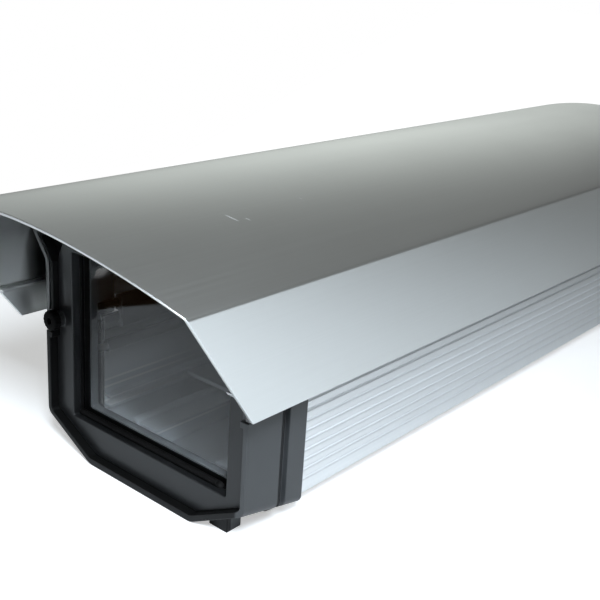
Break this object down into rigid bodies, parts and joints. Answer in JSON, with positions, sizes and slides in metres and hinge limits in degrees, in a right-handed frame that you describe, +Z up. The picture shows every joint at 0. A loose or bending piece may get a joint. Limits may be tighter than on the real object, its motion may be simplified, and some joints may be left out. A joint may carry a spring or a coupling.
{
  "type": "security camera housing",
  "caption": "Fluted aluminium housing for a fixed camera, with a black window cap, an arched sunshield with side flaps, a sliding cover and rear cable glands.",
  "frame": {"origin": "centre of the four threaded mounting holes, on the underside of the tray", "axes": "+Z up, +Y from the window to the rear along the housing, +X to the right seen from the window side"},
  "size_m": [0.1322, 0.4232, 0.1182],
  "materials": {
    "anodised_body": "satin anodised",
    "anodised_shield": "satin anodised, brushed lengthwise",
    "cap_black": "fine matt moulded",
    "bezel_black": "fine matt moulded",
    "knob_black": "moulded, slightly glossy",
    "nylon_black": "matt nylon",
    "clear_glass": "polished",
    "rubber_seal": "matt",
    "zinc_steel": "zinc plated",
    "sled_aluminium": "mill"
  },
  "bodies": {
    "tray": {"housing_tray": "anodised_body", "cover_seals": "rubber_seal", "front_cap": "cap_black", "window_bezel": "bezel_black", "window_glass": "clear_glass", "glass_gasket_front": "rubber_seal", "glass_gasket_rear": "rubber_seal", "front_cap_screws": "zinc_steel", "front_gasket": "rubber_seal", "rear_cap": "cap_black", "rear_lip_seal": "rubber_seal", "rear_gasket": "rubber_seal", "rear_cap_screws": "zinc_steel", "gland_bodies": "nylon_black", "gland_seals": "rubber_seal", "gland_locknuts": "nylon_black"},
    "cover": {"housing_cover": "anodised_body", "sunshield": "anodised_shield", "shield_spacers": "nylon_black", "shield_screws": "zinc_steel", "shield_nuts": "zinc_steel"},
    "closing_screw": {"closing_screw": "knob_black"},
    "sled": {"camera_sled": "sled_aluminium"},
    "camera_screw": {"camera_screw": "zinc_steel", "camera_screw_washer": "rubber_seal"},
    "gland_nut_left": {"gland_nut_left": "nylon_black"},
    "gland_nut_middle": {"gland_nut_middle": "nylon_black"},
    "gland_nut_right": {"gland_nut_right": "nylon_black"}
  },
  "joints": [
    {"name": "cover_slide", "type": "slide", "parent": "tray", "child": "cover", "axis": [0, 1, 0], "range_m": [0, 0.18]},
    {"name": "closing_screw_turn", "type": "hinge", "parent": "tray", "child": "closing_screw", "pos_m": [-0.0504, -0.178, 0.055], "axis": [0, 1, 0], "range_deg": [-1440, 0]},
    {"name": "sled_slide", "type": "slide", "parent": "tray", "child": "sled", "axis": [0, 1, 0], "range_m": [-0.035, 0.03]},
    {"name": "camera_screw_turn", "type": "hinge", "parent": "sled", "child": "camera_screw", "pos_m": [0, -0.028, 0.01], "axis": [0, 0, 1], "range_deg": [-1440, 0]},
    {"name": "gland_nut_left_turn", "type": "hinge", "parent": "tray", "child": "gland_nut_left", "pos_m": [-0.028, 0.172, 0.029], "axis": [0, 1, 0], "range_deg": [-90, 720]},
    {"name": "gland_nut_middle_turn", "type": "hinge", "parent": "tray", "child": "gland_nut_middle", "pos_m": [0, 0.172, 0.029], "axis": [0, 1, 0], "range_deg": [-90, 720]},
    {"name": "gland_nut_right_turn", "type": "hinge", "parent": "tray", "child": "gland_nut_right", "pos_m": [0.028, 0.172, 0.029], "axis": [0, 1, 0], "range_deg": [-90, 720]}
  ]
}
